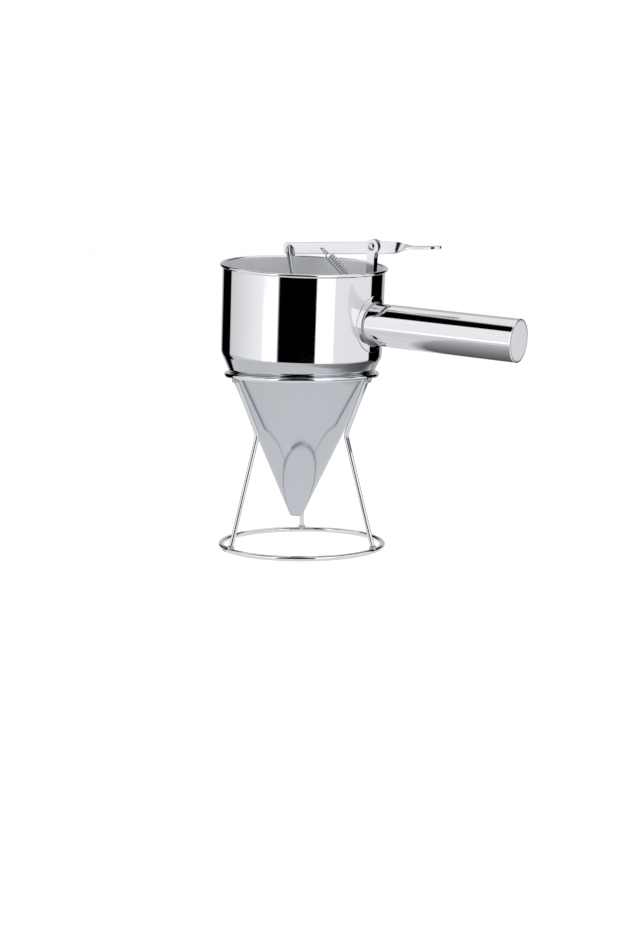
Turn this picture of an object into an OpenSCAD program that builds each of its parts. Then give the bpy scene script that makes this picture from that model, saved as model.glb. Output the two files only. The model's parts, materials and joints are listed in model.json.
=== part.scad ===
// Batter dispenser: a steel funnel with a lever valve and a tube handle, resting in a wire stand.
// The origin is on the table at the stand's axis, +Z is up and the handle points along +X.

/* [Funnel] */
// Outside radius of the bowl's wall
bowl_r = 53.5; // [48:0.5:60]
// Height from the outlet to the top of the rim
funnel_h = 170.2; // [160:0.2:180]
// Height from the outlet to where the cone's line meets the bowl's wall
cone_h = 111.5; // [104:0.5:118]
// Outside radius of the outlet
outlet_r = 4.25; // [4:0.25:7]
// Sheet thickness of the bowl and the cone
sheet_t = 0.6; // [0.5:0.1:1]
// Outside radius of the rounding between the bowl and the cone
shoulder_r = 9; // [5:0.5:14]
// Radius of the rolled rim
rim_bead_r = 1.2; // [1:0.1:1.6]

/* [How the funnel rests] */
// Angle by which the funnel tips in its ring, in degrees
funnel_lean = 5.6; // [0:0.2:6]
// Direction in which it tips, counted from the handle, in degrees
lean_heading = -41; // [-60:1:60]
// Gap left between the cone and what it rests on
seat_gap = 0.3; // [0.2:0.05:0.5]

/* [Stand] */
// Height of the stand over its top ring
stand_h = 117.9; // [112:0.1:126]
// Radius of the top ring at the middle of its wire
top_ring_r = 49.8; // [46:0.1:50]
// Radius of the base ring at the middle of its wire
base_ring_r = 54.25; // [50:0.25:62]
// Thickness of the ring wire
ring_wire = 3.5; // [3:0.1:4.5]
// Thickness of the leg wire
leg_wire = 3.2; // [2.6:0.1:3.5]
// Height of the bend in each leg
leg_bend_z = 77; // [66:1:88]
// Distance of that bend from the stand's axis
leg_bend_in = 33.6; // [33:0.1:40]

/* [Handle] */
// Outside diameter of the handle tube
handle_d = 27.5; // [24:0.5:32]
// Wall of the handle tube
handle_wall = 0.8; // [0.6:0.1:1.5]
// Length of the handle from the bowl's wall to its end
handle_len = 101.5; // [80:0.5:130]
// Depth of the handle's axis below the top of the rim
handle_drop = 34.2; // [30:0.2:36]
// Radius of the round plate at the handle's root
flange_r = 18.6; // [17:0.2:21]

/* [Lever] */
// Height of the lever's pivot over the top of the rim
pivot_rise = 16; // [15:0.1:20]
// Distance of the pivot from the bowl's axis, short of the wall by this much
pivot_inset = 2.75; // [1:0.05:3]
// Distance from the pivot to the hole for the valve rod
hook_arm = 61.85; // [58:0.05:66]
// Distance from the pivot to the hole for the spring
spring_arm = 37.45; // [34:0.05:42]
// Width of the lever strip
lever_w = 7.8; // [7.2:0.1:9]
// Thickness of the lever strip
lever_t = 1.6; // [1.2:0.1:2]
// Distance from the pivot to the end of the thumb tab
thumb_reach = 47.75; // [42:0.25:60]
// Width of the thumb tab
thumb_w = 11; // [8:0.5:16]
// Angle of the lever over the funnel's level at rest, in degrees
lever_rest = 4.9; // [3:0.1:6]

/* [Valve] */
// Thickness of the valve rod
rod_d = 3; // [2.4:0.1:3.2]
// Height over the outlet where the rod meets the funnel's axis
rod_joggle_z = 127.5; // [110:0.5:140]
// Height of the plug
plug_h = 9.5; // [8:0.5:14]

/* [Spring] */
// Outside diameter of the spring
spring_od = 6; // [5:0.25:7]
// Thickness of the spring wire
spring_wire = 0.9; // [0.7:0.05:1]
// Number of turns
spring_turns = 17; // [12:1:19]
// Distance from one turn to the next
spring_pitch = 1.75; // [1.6:0.05:1.85]

/* [Hidden] */
$fn = 96;

cut = 1;                // overrun of every cutting shape
bend_swell = 0.02;      // wire is thicker by this much in a bend
bend_lap = 0.1;         // and straight wire runs on into the bend by this much
cone_swell = 0.005;     // the straight cone is thicker by this much on each face
shoulder_lap = 1;       // degrees by which the shoulder's arc ends inside it
steel = [0.78, 0.79, 0.81];
satin = [0.72, 0.74, 0.78];
wire_steel = [0.70, 0.71, 0.74];

// funnel
half_angle = atan((bowl_r - outlet_r) / cone_h);
seam_z = cone_h + shoulder_r * tan(half_angle / 2);
bead_z = funnel_h - rim_bead_r;
wall_in_r = bowl_r - sheet_t;
bead_open_to = 260;     // the roll is open from the wall round to this angle

// stand
ring_z = stand_h - ring_wire / 2;
leg_azimuths = [0, -120, 120];
leg_bend_r = 6;
weld_r = 2.3;
weld_clear = 0.15;      // the upper beads stay this much outside the leg's inner side
joint_az = -128;        // where the base ring's wire closes
joint_sweep = 2.4;
joint_flash = 0.35;

// where the leaning funnel sits: its cone touches the top ring on all sides
seat_reach = ring_wire / 2 + seat_gap;
angle_near = half_angle + funnel_lean;
angle_far = half_angle - funnel_lean;
apex_drop = (2 * top_ring_r - seat_reach * (1 / cos(angle_near) + 1 / cos(angle_far)))
            / (tan(angle_near) + tan(angle_far));
apex_shift = top_ring_r - seat_reach / cos(angle_near) - apex_drop * tan(angle_near);
apex_z = ring_z - apex_drop;
apex_to_outlet = outlet_r / tan(half_angle);

// distance from the stand's axis to the leaning cone, at a height and a direction from the lean
function cone_reach(z, dir) =
    let (h = z - apex_z, c = pow(cos(half_angle), 2), s = sin(funnel_lean),
         k = h * cos(funnel_lean) - apex_shift * s,
         qa = pow(s * cos(dir), 2) - c,
         qb = 2 * cos(dir) * (s * k + c * apex_shift),
         qc = k * k - c * (apex_shift * apex_shift + h * h))
    (-qb - sqrt(qb * qb - 4 * qa * qc)) / (2 * qa);

// a leg is bent in to leg_bend_in from the axis, or less where the leaning cone comes nearer
function leg_bend_reach(azimuth) =
    max(leg_bend_in, cone_reach(leg_bend_z, azimuth - lean_heading) + (leg_wire / 2 + seat_gap) / cos(half_angle));

// handle
handle_z = funnel_h - handle_drop;
flange_t = 0.6;
root_weld = 1;
cap_t = 1.4;
cap_groove = 0.7;

// lever and its bracket
pivot_x = bowl_r - pivot_inset;
pivot_z = funnel_h + pivot_rise;
strip_drop = 0.9;       // the strip's middle lies this much under the pivot
strip_end = 4.8;        // strip beyond the hole for the rod
strip_corner = 1.6;
twist_from = 8.6;
twist_len = 20;
shank_r = 1.6;
rivet_head_r = 2.6;
rivet_head_h = 1;
rivet_eye_r = 0.9;
pin_gap = 0.08;
side_gap = 0.1;
washer_t = 0.5;
washer_r = 3.4;
sheet_b = 1.2;          // sheet of the bracket
ear_r = 4.7;
ear_in = lever_t / 2 + side_gap + washer_t;
ear_out = ear_in + sheet_b;
stem_depth = 5.4;
stem_in = wall_in_r - stem_depth;
shoulder_share = 1.5;   // of the ear's radius, from the pivot down to the bracket's shoulder
neck_share = 0.6;       // and from the pivot to each side of its neck
shoulder_z = pivot_z - shoulder_share * ear_r;
web_top = pivot_z - lever_w / 2 - strip_drop - 2 * sheet_b;
lug_t = 1.5;
spot_r = 1.2;
spot_t = 0.25;

// spring
coil_r = (spring_od - spring_wire) / 2;
spring_hole_drop = 1.2;
spring_hole_r = 1.2;
anchor_inset = 6.9;     // where the spring's lower hook holds, counted from the wall
anchor_drop = 31.9;     // and from the pivot down
anchor_x = wall_in_r - anchor_inset;
anchor_z = pivot_z - anchor_drop;
lug_r = 2.6;
foot_z = anchor_z - lug_r;
coil_bend_r = 1.2;
hook_tail = 125;        // how far round the open end of each hook goes

// valve
hook_half = 3.4;        // half of the hook's span over the lever
hook_bend_r = hook_half - lever_t / 2;
hook_tail_len = 6.4;
hook_hole_r = rod_d / 2 + 0.5;
joggle_r = 12;
plug_gap = 0.3;
plug_z = 1.5;           // height of the plug's nose over the outlet
plug_land = 1.5;
plug_bore_gap = 0.05;
nut_af = 5.5;
nut_h = 2.4;

// places in the plane of the lever, as [x, z] in the funnel's frame
function on_lever(u, w) = [pivot_x + u * cos(lever_rest) - w * sin(lever_rest),
                           pivot_z + u * sin(lever_rest) + w * cos(lever_rest)];
hook_at = on_lever(-hook_arm, 0);
spring_at = on_lever(-spring_arm, -spring_hole_drop);

function unit(v) = v / norm(v);

// the funnel's own frame, origin at its outlet and +Z up its axis, set down in the stand
module in_funnel() {
    rotate([0, 0, lean_heading])
        translate([apex_shift, 0, apex_z])
            rotate([0, funnel_lean, 0])
                translate([0, 0, apex_to_outlet])
                    rotate([0, 0, -lean_heading])
                        children();
}

// a stretch of a band, from one angle to another
module arc_band(r, t, from, to) {
    intersection() {
        difference() {
            circle(r = r);
            circle(r = r - t);
        }
        polygon([[0, 0], 2 * r * [cos(from), sin(from)],
                 2 * r * [cos((from + to) / 2), sin((from + to) / 2)], 2 * r * [cos(to), sin(to)]]);
    }
}

// Round wire along a bent line. Each stretch is drawn in the frame in which the one before it ends.
// A bend is thicker than the wire by a hair, and the straight stretches end just inside it.
module bent_wire(points, r, bend_rs) {
    n = len(points);
    dirs = [for (i = [0:n - 2]) unit(points[i + 1] - points[i])];
    turns = [for (i = [1:n - 2]) acos(dirs[i - 1] * dirs[i])];
    cuts = [0, for (i = [0:n - 3]) bend_rs[i] * tan(turns[i] / 2), 0];
    lengths = [for (i = [0:n - 2]) norm(points[i + 1] - points[i]) - cuts[i] - cuts[i + 1]];
    tip = acos(dirs[0][2]);
    spin = atan2(dirs[0][1], dirs[0][0]);
    translate(points[0])
        rotate([0, tip, spin])
            wire_from(0, [cos(tip) * cos(spin), cos(tip) * sin(spin), -sin(tip)],
                      dirs, turns, lengths, r, bend_rs);
}

// the stretch of this number and all after it, where side is the direction of the frame's own X
module wire_from(i, side, dirs, turns, lengths, r, bend_rs) {
    before = i == 0 ? 0 : bend_lap;
    after = i == len(turns) ? 0 : bend_lap;
    translate([0, 0, -before])
        cylinder(r = r, h = before + lengths[i] + after);
    if (i < len(turns)) {
        inward = unit(dirs[i + 1] - dirs[i] * (dirs[i] * dirs[i + 1]));
        roll = atan2(inward * cross(dirs[i], side), inward * side);
        translate([0, 0, lengths[i]])
            rotate([0, 0, roll])
                translate([bend_rs[i], 0, 0]) {
                    rotate([90, 0, 180])
                        rotate_extrude(angle = turns[i])
                            translate([bend_rs[i], 0])
                                circle(r = r + bend_swell);
                    rotate([0, turns[i], 0])
                        translate([-bend_rs[i], 0, 0])
                            wire_from(i + 1, inward * cos(turns[i]) - dirs[i] * sin(turns[i]),
                                      dirs, turns, lengths, r, bend_rs);
                }
    }
}

// cylinders that lie along X and along Y, centred on the axis that they follow
module along_x(r, from, to) {
    translate([from, 0, 0])
        rotate([0, 90, 0])
            cylinder(r = r, h = to - from);
}

module along_y(r, from, to) {
    translate([0, from, 0])
        rotate([-90, 0, 0])
            cylinder(r = r, h = to - from);
}

// an outline drawn in X and Z, made a plate centred on the plane of the lever
module plate_xz(t, y = 0) {
    translate([0, y + t / 2, 0])
        rotate([90, 0, 0])
            linear_extrude(height = t)
                children();
}

module wire_ring(r, z, d = ring_wire) {
    rotate_extrude()
        translate([r, z])
            circle(d = d);
}

module top_ring() {
    wire_ring(top_ring_r, ring_z);
}

module base_ring() {
    wire_ring(base_ring_r, ring_wire / 2);
}

module stand_top_ring() {
    color(wire_steel) top_ring();
}

module stand_base_ring() {
    color(wire_steel) base_ring();
}

function leg_points(azimuth) =
    [[top_ring_r, 0, ring_z], [leg_bend_reach(azimuth), 0, leg_bend_z], [base_ring_r, 0, ring_wire / 2]];

module leg_wire_at(azimuth) {
    rotate([0, 0, azimuth])
        bent_wire(leg_points(azimuth), leg_wire / 2, [leg_bend_r]);
}

module stand_leg(azimuth) {
    color(wire_steel)
        difference() {
            leg_wire_at(azimuth);
            top_ring();
            base_ring();
        }
}

module stand_leg_handle() {
    stand_leg(leg_azimuths[0]);
}

module stand_leg_left() {
    stand_leg(leg_azimuths[1]);
}

module stand_leg_back() {
    stand_leg(leg_azimuths[2]);
}

// a bead of weld where a leg meets a ring, from one end of the leg towards its bend and off to one side
module leg_weld(end, azimuth, outward = 0) {
    line = leg_points(azimuth);
    along = unit(line[1] - line[end]);
    rotate([0, 0, azimuth])
        translate(line[end] + along * ring_wire / 2 + outward * [-along[2], 0, along[0]])
            sphere(r = weld_r);
}

module stand_top_welds() {
    color(wire_steel)
        for (azimuth = leg_azimuths)
            difference() {
                leg_weld(0, azimuth, weld_r - leg_wire / 2 + weld_clear);
                top_ring();
                leg_wire_at(azimuth);
            }
}

module stand_foot_welds() {
    color(wire_steel)
        for (azimuth = leg_azimuths)
            difference() {
                leg_weld(2, azimuth);
                base_ring();
                leg_wire_at(azimuth);
            }
}

// flash round the closed ring's wire, open underneath where the ring stands
module base_ring_joint() {
    color(wire_steel)
        rotate([0, 0, joint_az])
            rotate_extrude(angle = joint_sweep)
                translate([base_ring_r, ring_wire / 2])
                    difference() {
                        circle(r = ring_wire / 2 + joint_flash);
                        circle(d = ring_wire);
                        translate([-ring_wire, -3 * ring_wire / 2 + joint_flash])
                            square([2 * ring_wire, ring_wire]);
                    }
}

// the wall, curled outwards into a hollow roll that stays open next to the wall
module bowl_profile() {
    translate([wall_in_r, bead_z]) {
        translate([0, seam_z - bead_z])
            square([sheet_t, bead_z - seam_z]);
        translate([rim_bead_r, 0])
            difference() {
                circle(r = rim_bead_r);
                circle(r = rim_bead_r - sheet_t);
                polygon([[0, 0], [-2 * rim_bead_r, 0], [-2 * rim_bead_r, -2 * rim_bead_r],
                         2 * rim_bead_r * [cos(bead_open_to), sin(bead_open_to)]]);
            }
    }
}

module bowl() {
    color(steel)
        in_funnel()
            rotate_extrude()
                bowl_profile();
}

// the straight side is thicker than the shoulder by a hair on each face, and the shoulder ends just inside it
module cone_profile() {
    centre = [bowl_r - shoulder_r, seam_z];
    out = [cos(half_angle), -sin(half_angle)];
    translate(centre)
        arc_band(shoulder_r, sheet_t, -half_angle - shoulder_lap, 0);
    polygon([[outlet_r, 0], centre + (shoulder_r + cone_swell) * out,
             centre + (shoulder_r - sheet_t - cone_swell) * out, [outlet_r - sheet_t / cos(half_angle), 0]]);
}

module cone() {
    color(satin)
        in_funnel()
            rotate_extrude()
                cone_profile();
}

module round_the_wall(r, from, to) {
    translate([0, 0, handle_z - r - cut])
        intersection() {
            difference() {
                cylinder(r = to, h = 2 * (r + cut));
                translate([0, 0, -cut])
                    cylinder(r = from, h = 2 * (r + 2 * cut));
            }
            translate([0, 0, r + cut])
                along_x(r, 0, 2 * bowl_r);
        }
}

module handle_flange() {
    color(steel)
        in_funnel()
            round_the_wall(flange_r, bowl_r, bowl_r + flange_t);
}

module handle_root_weld() {
    color(satin)
        in_funnel()
            difference() {
                round_the_wall(handle_d / 2 + root_weld, bowl_r + flange_t, bowl_r + flange_t + root_weld);
                translate([0, 0, handle_z])
                    along_x(handle_d / 2, 0, 2 * bowl_r);
            }
}

module handle_tube() {
    end = bowl_r + handle_len;
    color(steel)
        in_funnel()
            difference() {
                translate([0, 0, handle_z])
                    difference() {
                        along_x(handle_d / 2, wall_in_r - handle_d / 4, end);
                        along_x(handle_d / 2 - handle_wall, 0, end + cut);
                    }
                cylinder(r = bowl_r + flange_t, h = funnel_h);
            }
}

module handle_end_cap() {
    end = bowl_r + handle_len;
    inside = handle_d / 2 - handle_wall;
    color(satin)
        in_funnel()
            translate([0, 0, handle_z]) {
                along_x(inside, end - cap_t, end - cap_groove);
                along_x(inside - cap_groove, end - cap_groove, end);
            }
}

// one side of the channel: a stem down the inside of the wall, and a round ear over the rim
module bracket_side() {
    neck = neck_share * ear_r;
    difference() {
        union() {
            polygon([[stem_in, foot_z], [wall_in_r, foot_z], [wall_in_r, shoulder_z],
                     [pivot_x + neck, pivot_z - neck], [pivot_x - neck, pivot_z - neck], [stem_in, shoulder_z]]);
            translate([pivot_x, pivot_z])
                circle(r = ear_r);
        }
        translate([pivot_x, pivot_z])
            circle(r = shank_r + pin_gap);
    }
}

module foot_lug() {
    difference() {
        union() {
            translate([anchor_x, anchor_z])
                circle(r = lug_r);
            translate([anchor_x, anchor_z - lug_r])
                square([wall_in_r - sheet_b - anchor_x, 2 * lug_r]);
        }
        translate([anchor_x, anchor_z])
            circle(r = spring_hole_r);
    }
}

module lever_bracket() {
    color(steel)
        in_funnel()
            difference() {
                union() {
                    for (y = [-1, 1])
                        plate_xz(sheet_b, y * (ear_in + sheet_b / 2))
                            bracket_side();
                    translate([wall_in_r - sheet_b, -ear_out, foot_z])
                        cube([sheet_b, 2 * ear_out, web_top - foot_z]);
                    plate_xz(lug_t)
                        foot_lug();
                }
                difference() {
                    translate([0, -bowl_r, foot_z - cut])
                        cube([bowl_r + ear_r, 2 * bowl_r, shoulder_z - foot_z + cut]);
                    translate([0, 0, foot_z - 2 * cut])
                        cylinder(r = wall_in_r, h = funnel_h);
                }
            }
}

module bracket_spot_welds() {
    face = wall_in_r - sheet_b;
    color(satin)
        in_funnel()
            for (z = [anchor_z + 2 * lug_r, anchor_z + 4 * lug_r])
                translate([0, 0, z])
                    along_x(spot_r, face - spot_t, face);
}

module rivet_head() {
    dome_r = (rivet_head_r * rivet_head_r + rivet_head_h * rivet_head_h) / (2 * rivet_head_h);
    rotate_extrude()
        difference() {
            intersection() {
                translate([0, rivet_head_h - dome_r])
                    circle(r = dome_r);
                square([rivet_head_r, rivet_head_h]);
            }
            translate([0, rivet_head_h / 2])
                square([rivet_eye_r, rivet_head_h]);
        }
}

module pivot_rivet() {
    color(satin)
        in_funnel()
            translate([pivot_x, 0, pivot_z]) {
                along_y(shank_r, -ear_out, ear_out);
                translate([0, -ear_out, 0])
                    rotate([90, 0, 0])
                        rivet_head();
                translate([0, ear_out, 0])
                    rotate([-90, 0, 0])
                        rivet_head();
            }
}

module pivot_washers() {
    color(satin)
        in_funnel()
            translate([pivot_x, 0, pivot_z])
                for (from = [-ear_in, ear_in - washer_t])
                    difference() {
                        along_y(washer_r, from, from + washer_t);
                        along_y(shank_r + pin_gap, from - cut, from + washer_t + cut);
                    }
}

module strip_outline() {
    tail = -hook_arm - strip_end;
    low = -strip_drop - lever_w / 2;
    difference() {
        union() {
            translate([tail + strip_corner, low])
                square([twist_from - tail - strip_corner, lever_w]);
            translate([tail, low + strip_corner])
                square([strip_corner, lever_w - 2 * strip_corner]);
            for (w = [low + strip_corner, low + lever_w - strip_corner])
                translate([tail + strip_corner, w])
                    circle(r = strip_corner);
        }
        circle(r = shank_r + pin_gap);
        translate([-hook_arm, 0])
            circle(r = hook_hole_r);
        translate([-spring_arm, -spring_hole_drop])
            circle(r = spring_hole_r);
    }
}

module thumb_outline() {
    from = twist_from + twist_len;
    round_at = thumb_reach - thumb_w / 2;
    polygon([[from, -lever_w / 2], [(from + round_at) / 2, -thumb_w / 2], [round_at, -thumb_w / 2],
             [round_at, thumb_w / 2], [(from + round_at) / 2, thumb_w / 2], [from, lever_w / 2]]);
    translate([round_at, 0])
        circle(d = thumb_w);
}

module lever() {
    color(steel)
        in_funnel()
            translate([pivot_x, 0, pivot_z])
                rotate([0, -lever_rest, 0]) {
                    plate_xz(lever_t)
                        strip_outline();
                    translate([twist_from, 0, -strip_drop])
                        rotate([0, 90, 0])
                            linear_extrude(height = twist_len, twist = 90, slices = 18, segments = 12)
                                square([lever_w, lever_t], center = true);
                    translate([0, 0, -strip_drop - lever_t / 2])
                        linear_extrude(height = lever_t)
                            thumb_outline();
                }
}

rod_points = [[hook_at[0], hook_half, hook_at[1] - hook_tail_len], [hook_at[0], hook_half, hook_at[1]],
              [hook_at[0], -hook_half, hook_at[1]], [0, 0, rod_joggle_z], [0, 0, plug_z]];

module valve_rod() {
    color(steel)
        in_funnel()
            bent_wire(rod_points, rod_d / 2, [hook_bend_r, hook_bend_r, joggle_r]);
}

// radius of the plug at a height, a small gap inside the cone
function plug_r(z) = outlet_r - (sheet_t + plug_gap) / cos(half_angle) + z * tan(half_angle);
plug_top = plug_z + plug_h;

module valve_plug() {
    wide = plug_r(plug_top - 2 * plug_land);
    color(satin)
        in_funnel()
            rotate_extrude()
                polygon([[rod_d / 2 + plug_bore_gap, plug_z], [plug_r(plug_z), plug_z],
                         [wide, plug_top - 2 * plug_land], [wide, plug_top - plug_land],
                         [nut_af, plug_top], [rod_d / 2 + plug_bore_gap, plug_top]]);
}

module plug_nut() {
    color(satin)
        in_funnel()
            translate([0, 0, plug_top])
                difference() {
                    cylinder(d = nut_af / cos(30), h = nut_h, $fn = 6);
                    translate([0, 0, -cut])
                        cylinder(r = rod_d / 2 + plug_bore_gap, h = nut_h + 2 * cut);
                }
}

// the spring's line: a hook, a straight lead, the turns, a lead and a hook.
// It is worked out on the unrolled cylinder: s runs along the axis and c round it.
spring_axis = unit([anchor_x - spring_at[0], 0, anchor_z - spring_at[1]]);
spring_side = [0, -1, 0];
spring_third = cross(spring_axis, spring_side);
spring_length = norm([anchor_x - spring_at[0], anchor_z - spring_at[1]]);
turn_round = 2 * PI * coil_r;
turn_angle = atan(turn_round / spring_pitch);
bend_s = coil_bend_r * sin(turn_angle);
bend_c = coil_bend_r * (1 - cos(turn_angle));
body_s = 2 * bend_s + (spring_turns * turn_round - 2 * bend_c) * spring_pitch / turn_round;
lead_s = (spring_length - 2 * coil_r - body_s) / 2;
rings_per_turn = 8;
hook_steps = 7;
bend_steps = 3;

function spring_place(s, c) =
    let (a = c / coil_r * 180 / PI)
    [spring_at[0], 0, spring_at[1]] + s * spring_axis
    + coil_r * (cos(a) * spring_side + sin(a) * spring_third);

// half of the line, from the open end of a hook to the first turn
half_hook = [for (i = [0:hook_steps]) let (b = -hook_tail + i * (hook_tail + 90) / hook_steps)
             [coil_r - coil_r * cos(b), sin(b)]];
half_bend = [for (i = [0:bend_steps]) let (a = i * turn_angle / bend_steps)
             [coil_r + lead_s + coil_bend_r * sin(a), coil_bend_r * (1 - cos(a))]];
hook_tip = half_hook[0] + spring_wire * [sin(hook_tail), -cos(hook_tail) / coil_r];
function hook_place(s, side) =
    [spring_at[0], 0, spring_at[1]] + s * spring_axis + coil_r * side * spring_side;
ring_count = floor(spring_turns * rings_per_turn) - 1;
turns_from = coil_r + lead_s + bend_s;
spring_line = concat(
    [hook_place(hook_tip[0], hook_tip[1])],
    [for (p = half_hook) hook_place(p[0], p[1])],
    [for (p = half_bend) spring_place(p[0], p[1])],
    [for (i = [1:ring_count]) let (c = bend_c + i * (spring_turns * turn_round - 2 * bend_c) / (ring_count + 1))
     spring_place(turns_from + (c - bend_c) * spring_pitch / turn_round, c)],
    [for (i = [bend_steps:-1:0]) spring_place(spring_length - half_bend[i][0],
                                              spring_turns * turn_round - half_bend[i][1])],
    [for (i = [hook_steps:-1:0]) hook_place(spring_length - half_hook[i][0], half_hook[i][1])],
    [hook_place(spring_length - hook_tip[0], hook_tip[1])]);

// a tube with triangular faces along a line of points
module tube(points, r, sides) {
    n = len(points);
    heading = [for (i = [0:n - 1]) unit(points[min(i + 1, n - 1)] - points[max(i - 1, 0)])];
    first = unit(cross(heading[0], spring_third));
    normals = [for (i = 0, v = first; i < n;
                    v = i < n - 1 ? unit(v - heading[i + 1] * (v * heading[i + 1])) : v, i = i + 1) v];
    rim = [for (i = [0:n - 1]) let (u = normals[i], w = cross(heading[i], u))
           for (k = [0:sides - 1]) points[i] + r * (cos(360 * k / sides) * u + sin(360 * k / sides) * w)];
    skin = [for (i = [0:n - 2]) for (k = [0:sides - 1])
            let (a = i * sides + k, b = i * sides + (k + 1) % sides)
            each [[a, a + sides, b], [b, a + sides, b + sides]]];
    caps = [for (k = [1:sides - 2]) each [[0, k, k + 1],
            [(n - 1) * sides, (n - 1) * sides + k + 1, (n - 1) * sides + k]]];
    polyhedron(points = rim, faces = concat(skin, caps));
}

// least gap of the spring to itself, over points at least half a turn apart
least_gap = min([for (i = [0:len(spring_line) - 1])
                 for (j = [i + rings_per_turn / 2:1:len(spring_line) - 1])
                 norm(spring_line[i] - spring_line[j])]) - spring_wire;
echo(least_gap_of_the_spring = least_gap);

module lever_spring() {
    color(satin)
        in_funnel()
            tube(spring_line, spring_wire / 2, 6);
}

stand_top_ring();
stand_base_ring();
stand_leg_handle();
stand_leg_left();
stand_leg_back();
stand_top_welds();
stand_foot_welds();
base_ring_joint();
bowl();
cone();
handle_flange();
handle_tube();
handle_root_weld();
handle_end_cap();
lever_bracket();
bracket_spot_welds();
pivot_rivet();
pivot_washers();
lever();
valve_rod();
valve_plug();
plug_nut();
lever_spring();
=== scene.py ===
# Steel batter dispenser: a funnel with a lever valve and a tube handle, resting in a wire stand.
import bpy, bmesh, json, math
from mathutils import Matrix, Vector, noise


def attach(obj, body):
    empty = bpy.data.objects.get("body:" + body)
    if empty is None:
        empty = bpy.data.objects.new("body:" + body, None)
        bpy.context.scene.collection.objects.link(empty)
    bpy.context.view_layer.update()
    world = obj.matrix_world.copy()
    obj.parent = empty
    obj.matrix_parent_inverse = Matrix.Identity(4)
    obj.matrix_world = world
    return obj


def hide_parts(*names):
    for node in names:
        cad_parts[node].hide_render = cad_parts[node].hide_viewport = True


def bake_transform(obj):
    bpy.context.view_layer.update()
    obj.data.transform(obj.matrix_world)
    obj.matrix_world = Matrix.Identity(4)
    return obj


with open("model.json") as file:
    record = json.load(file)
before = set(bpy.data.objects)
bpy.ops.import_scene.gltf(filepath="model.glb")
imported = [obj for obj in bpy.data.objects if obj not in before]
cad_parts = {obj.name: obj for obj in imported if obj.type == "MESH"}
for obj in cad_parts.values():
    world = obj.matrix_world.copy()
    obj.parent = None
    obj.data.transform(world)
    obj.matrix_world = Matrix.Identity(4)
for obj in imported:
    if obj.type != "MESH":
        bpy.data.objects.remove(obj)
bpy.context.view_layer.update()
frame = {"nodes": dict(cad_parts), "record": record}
record = frame["record"]
joints = {j["name"]: j for j in record["behaviour"]["joints"]}
mounts = {m["name"]: m for m in record["mounts"]}
MM = 0.001

# Sizes of the object, in millimetres
BOWL_R, SHEET, BEAD_R, FUNNEL_H = 53.5, 0.6, 1.2, 170.2
CONE_H, OUTLET_R, SHOULDER_R = 111.5, 4.25, 9.0
HANDLE_R, HANDLE_WALL, HANDLE_LEN, HANDLE_DROP = 13.75, 0.8, 101.5, 34.2
FLANGE_R, FLANGE_T, WELD_R = 18.6, 0.6, 1.0
CAP_T, CAP_GROOVE = 1.4, 0.7
PIVOT_INSET, PIVOT_RISE = 2.75, 16.0
HOOK_ARM, SPRING_ARM, SPRING_DROP, LEVER_REST = 61.85, 37.45, 1.2, 4.9
LEVER_W, LEVER_T, STRIP_DROP, STRIP_TAIL = 7.8, 1.6, 0.9, 4.8
TWIST_FROM, TWIST_LEN, THUMB_REACH, THUMB_W = 8.6, 20.0, 47.75, 11.0
ROD_R, HOOK_HALF, HOOK_TAIL, JOGGLE_Z, PLUG_Z = 1.5, 3.4, 6.4, 127.5, 1.5
SPRING_R, SPRING_WIRE, SPRING_TURNS, SPRING_PITCH = 2.55, 0.9, 17, 1.75
ANCHOR_INSET, ANCHOR_DROP = 6.9, 31.9
RING_WIRE, LEG_WIRE, TOP_RING_R, BASE_RING_R, STAND_H = 3.5, 3.2, 49.8, 54.25, 117.9
LEG_BEND_Z, LEG_BEND_IN, LEG_BEND_R, WELD_BALL_R, WELD_OUT = 77.0, 33.6, 6.0, 2.3, 0.85
LEAN, HEADING, SEAT_GAP = math.radians(5.6), math.radians(-41), 0.3
HOOK_HOLE_PLAY, SPRING_HOLE_R, PIVOT_HOLE_R, JOGGLE_R = 0.5, 1.2, 1.7, 12
LEAD_BEND_R, SPRING_HOOK_TURN = 1.2, math.radians(125)
# Eased edges and the play between pieces that meet
STRIP_CORNER, STRIP_EDGE, THUMB_EDGE_W, FLANGE_EDGE = 1.6, 0.3, 0.9, 0.3
TUBE_EASE, BORE_EASE, CAP_EASE = 0.35, 0.1, 0.25
CAP_PLAY, FLANGE_PLAY, ROOT_PLAY, INSIDE_MARGIN = 0.02, 0.02, 0.1, 0.05
LEG_AZIMUTHS = {"handle": 0, "left": -120, "back": 120}
HALF_ANGLE = math.atan((BOWL_R - OUTLET_R) / CONE_H)
SEAM_Z = CONE_H + SHOULDER_R * math.tan(HALF_ANGLE / 2)
BEAD_Z = FUNNEL_H - BEAD_R
WALL_IN = BOWL_R - SHEET
HANDLE_Z = FUNNEL_H - HANDLE_DROP
HANDLE_END = BOWL_R + HANDLE_LEN
PIVOT = Vector((BOWL_R - PIVOT_INSET, 0, FUNNEL_H + PIVOT_RISE))

# The funnel's own frame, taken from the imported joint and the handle's mount
axis_x = Vector(mounts["handle_grip"]["axis"]).normalized()
axis_y = Vector(joints["lever_pivot"]["axis"]).normalized()
axis_z = axis_x.cross(axis_y).normalized()
pivot_at = Vector(joints["lever_pivot"]["pos_m"]) / MM
funnel_origin = pivot_at - axis_x * PIVOT.x - axis_z * PIVOT.z
FUNNEL = Matrix((axis_x, axis_y, axis_z)).transposed().to_4x4()
FUNNEL.translation = funnel_origin
STAND = Matrix.Identity(4)
rest = math.radians(LEVER_REST)
LEVER = FUNNEL @ Matrix.Translation(PIVOT) @ Matrix.Rotation(-rest, 4, "Y")


# Meshes
def new_object(name, mesh):
    obj = bpy.data.objects.new(name, mesh)
    bpy.context.scene.collection.objects.link(obj)
    return obj


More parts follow.
